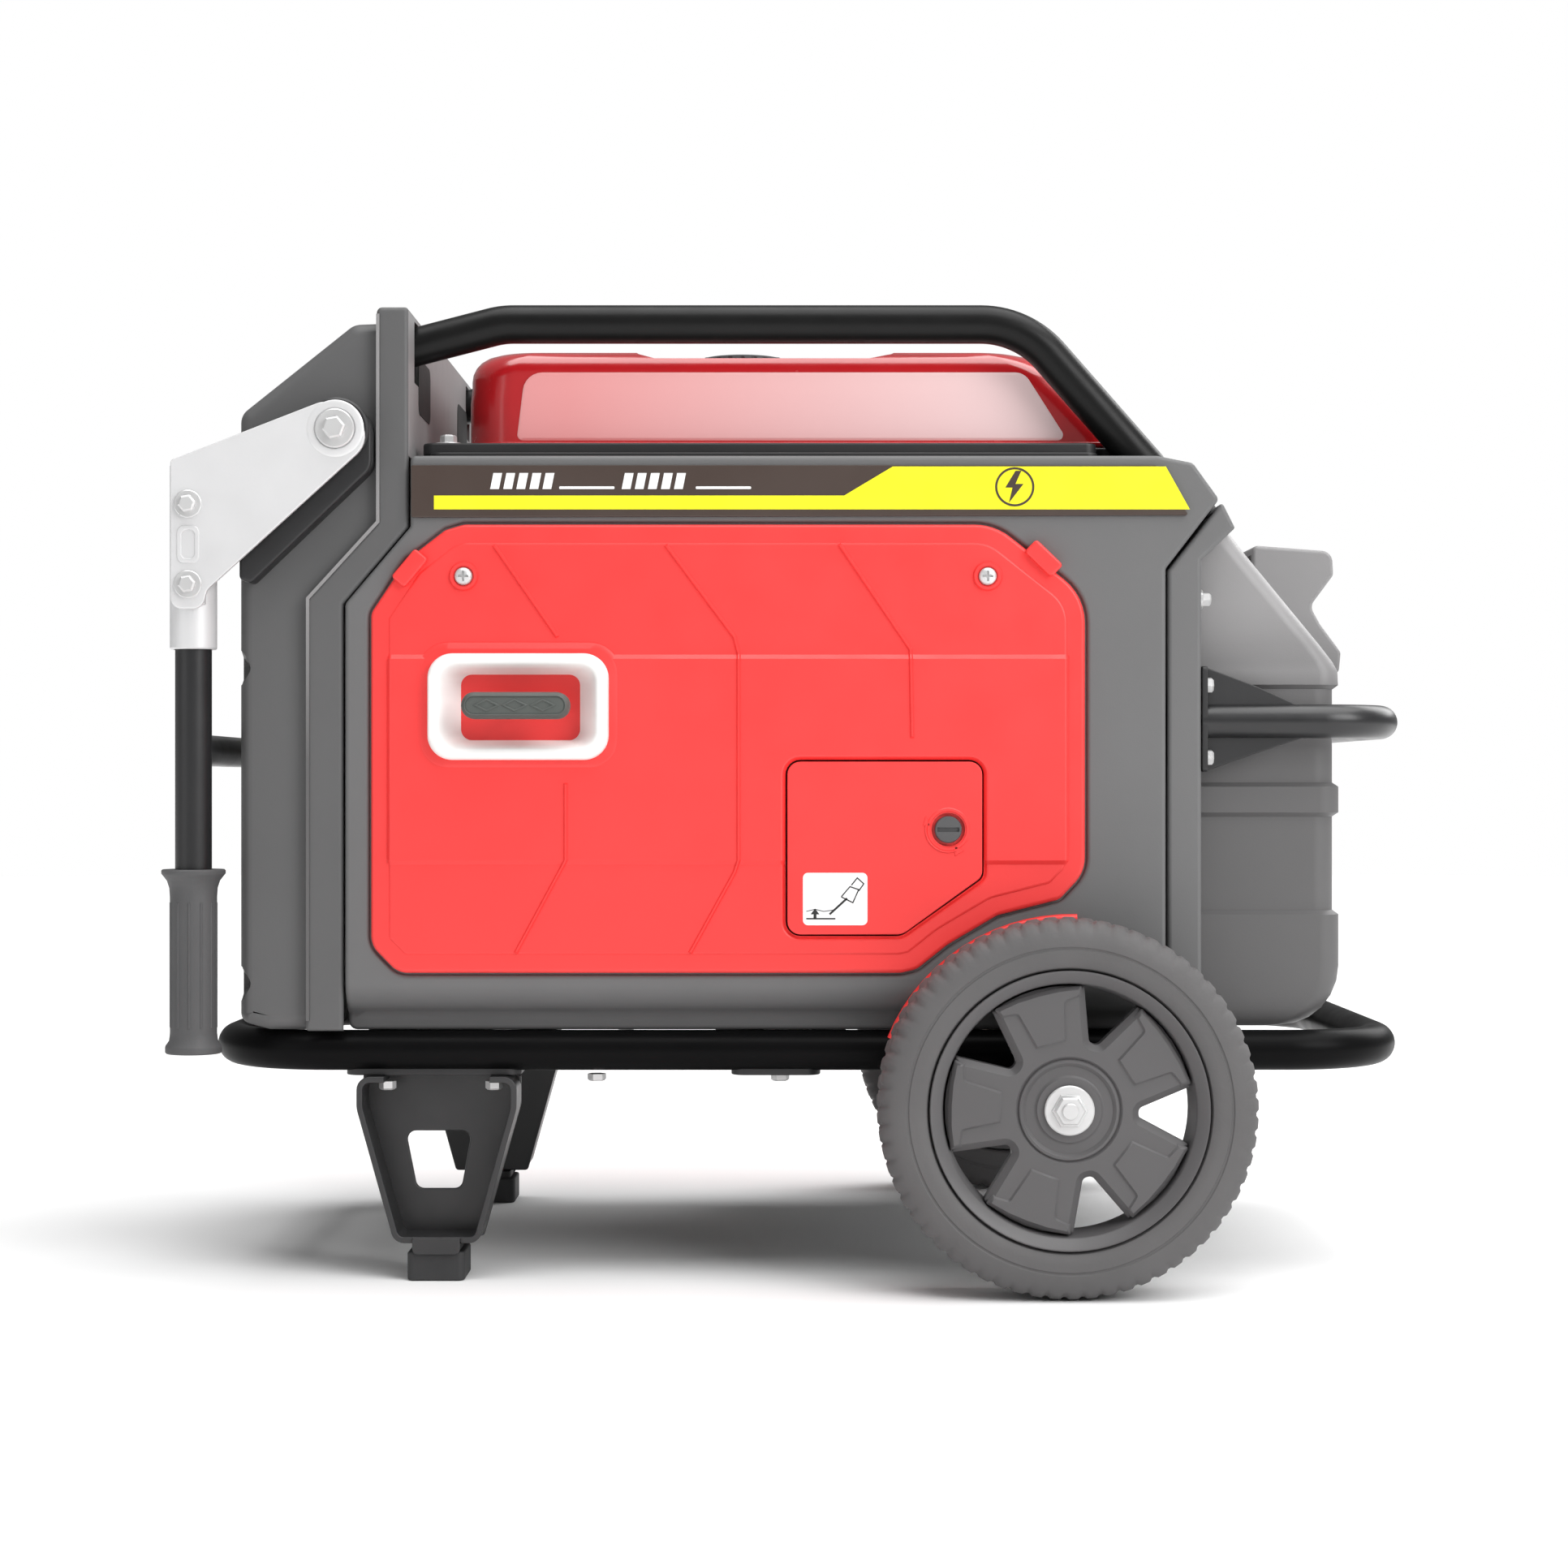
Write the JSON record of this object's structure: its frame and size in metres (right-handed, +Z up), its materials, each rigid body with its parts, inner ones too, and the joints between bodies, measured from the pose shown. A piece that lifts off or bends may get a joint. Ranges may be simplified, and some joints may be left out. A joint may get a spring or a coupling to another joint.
{
  "type": "portable generator",
  "caption": "Closed-frame portable inverter generator on two wheels and two front legs, with a folding pull handle, top rails, rear bumper and recoil starter.",
  "frame": {"origin": "centre of the bounding box at floor level", "axes": "+X to the wheel end, -Y to the recoil starter side, +Z up"},
  "size_m": [0.8676, 0.5996, 0.6815],
  "materials": {
    "blackPaint": "satin",
    "blackSteel": "satin",
    "greyPlastic": "matte",
    "palePlastic": "matte",
    "redPlastic": "satin",
    "redPaint": "gloss",
    "brownTrim": "matte",
    "silverPaint": "satin",
    "whitePlastic": "satin",
    "rubber": "matte",
    "tyre": "matte",
    "rimPlastic": "matte",
    "zinc": "satin",
    "castAlloy": "matte",
    "darkPlastic": "matte",
    "copper": "satin",
    "yellowPlastic": "satin",
    "cord": "matte"
  },
  "bodies": {
    "chassis": {"base_frame": "blackPaint", "top_rail_near": "blackPaint", "top_rail_far": "blackPaint", "rear_bumper": "blackPaint", "front_leg_near": "blackSteel", "front_leg_far": "blackSteel", "tank_tray": "blackSteel", "pivot_bracket_near": "blackSteel", "pivot_bracket_far": "blackSteel", "side_shell_near": "greyPlastic", "side_shell_far": "greyPlastic", "front_collar": "greyPlastic", "front_housing": "greyPlastic", "rear_collar": "palePlastic", "rear_cover": "palePlastic", "exhaust_hood": "palePlastic", "side_panel_near": "redPlastic", "side_panel_far": "redPlastic", "fuel_tank": "redPaint", "trim_strip_near": "brownTrim", "trim_strip_far": "brownTrim", "starter_bezel": "whitePlastic", "rubber_foot_near": "rubber", "rubber_foot_far": "rubber", "axle": "zinc", "hub_nut_near": "zinc", "hub_nut_far": "zinc", "pivot_bolt_near": "zinc", "pivot_bolt_far": "zinc", "muffler": "zinc", "engine_block": "castAlloy", "cylinder_head": "castAlloy", "inverter_module": "castAlloy", "control_panel": "darkPlastic", "outlet_block": "darkPlastic", "status_display": "darkPlastic", "air_cleaner": "darkPlastic", "battery": "darkPlastic", "stator": "copper", "oil_cap": "yellowPlastic"},
    "handle": {"handle_frame": "blackPaint", "handle_plate_near": "silverPaint", "handle_plate_far": "silverPaint", "grip_near": "rubber", "grip_far": "rubber"},
    "wheel_near": {"tyre_near": "tyre", "rim_near": "rimPlastic"},
    "wheel_far": {"tyre_far": "tyre", "rim_far": "rimPlastic"},
    "starter_pull": {"starter_grip": "rubber", "starter_rope": "cord"},
    "pulley": {"recoil_pulley": "darkPlastic"},
    "engine_rotor": {"rotor": "castAlloy"},
    "door": {"maintenance_door": "redPlastic"},
    "knob": {"door_knob": "darkPlastic"},
    "cap": {"fuel_cap": "darkPlastic"},
    "dial": {"start_dial": "redPlastic"},
    "rocker": {"eco_rocker": "darkPlastic"},
    "breaker": {"breaker_button": "redPlastic"},
    "flap": {"outlet_cover": "rubber"}
  },
  "joints": [
    {"name": "handle_fold", "type": "hinge", "parent": "chassis", "child": "handle", "pos_m": [-0.3115, 0, 0.586], "axis": [0, 1, 0], "range_deg": [0, 90]},
    {"name": "wheel_near_turn", "type": "hinge", "parent": "chassis", "child": "wheel_near", "pos_m": [0.184, -0.267, 0.127], "axis": [0, 1, 0], "continuous": true},
    {"name": "wheel_far_turn", "type": "hinge", "parent": "chassis", "child": "wheel_far", "pos_m": [0.184, 0.267, 0.127], "axis": [0, 1, 0], "continuous": true},
    {"name": "starter_slide", "type": "slide", "parent": "chassis", "child": "starter_pull", "axis": [0, -1, 0], "range_m": [0, 0.18], "stiffness_N_per_m": 60, "springref_m": -0.05},
    {"name": "pulley_turn", "type": "hinge", "parent": "chassis", "child": "pulley", "pos_m": [-0.1876, 0, 0.342], "axis": [1, 0, 0], "range_deg": [0, 190]},
    {"name": "rotor_turn", "type": "hinge", "parent": "chassis", "child": "engine_rotor", "pos_m": [-0.06, 0, 0.342], "axis": [1, 0, 0], "continuous": true},
    {"name": "door_hinge", "type": "hinge", "parent": "chassis", "child": "door", "pos_m": [-0.0037, -0.2222, 0.2995], "axis": [0, 0, -1], "range_deg": [0, 100]},
    {"name": "knob_turn", "type": "hinge", "parent": "door", "child": "knob", "pos_m": [0.1075, -0.219, 0.312], "axis": [0, 1, 0], "range_deg": [0, 90]},
    {"name": "cap_lift", "type": "slide", "parent": "chassis", "child": "cap", "axis": [0, 0, 1], "range_m": [0, 0.06]},
    {"name": "dial_turn", "type": "hinge", "parent": "chassis", "child": "dial", "pos_m": [-0.381, -0.095, 0.52], "axis": [1, 0, 0], "range_deg": [0, 120]},
    {"name": "rocker_tilt", "type": "hinge", "parent": "chassis", "child": "rocker", "pos_m": [-0.379, 0, 0.52], "axis": [0, 1, 0], "range_deg": [-7, 7]},
    {"name": "breaker_push", "type": "slide", "parent": "chassis", "child": "breaker", "axis": [1, 0, 0], "range_m": [0, 0.003], "stiffness_N_per_m": 300, "springref_m": -0.002},
    {"name": "flap_lift", "type": "hinge", "parent": "chassis", "child": "flap", "pos_m": [-0.3855, 0.092, 0.322], "axis": [0, 1, 0], "range_deg": [0, 110]}
  ],
  "couplings": [
    {"joint": "pulley_turn", "follows": "starter_slide", "rad_per_m": 18.182}
  ]
}
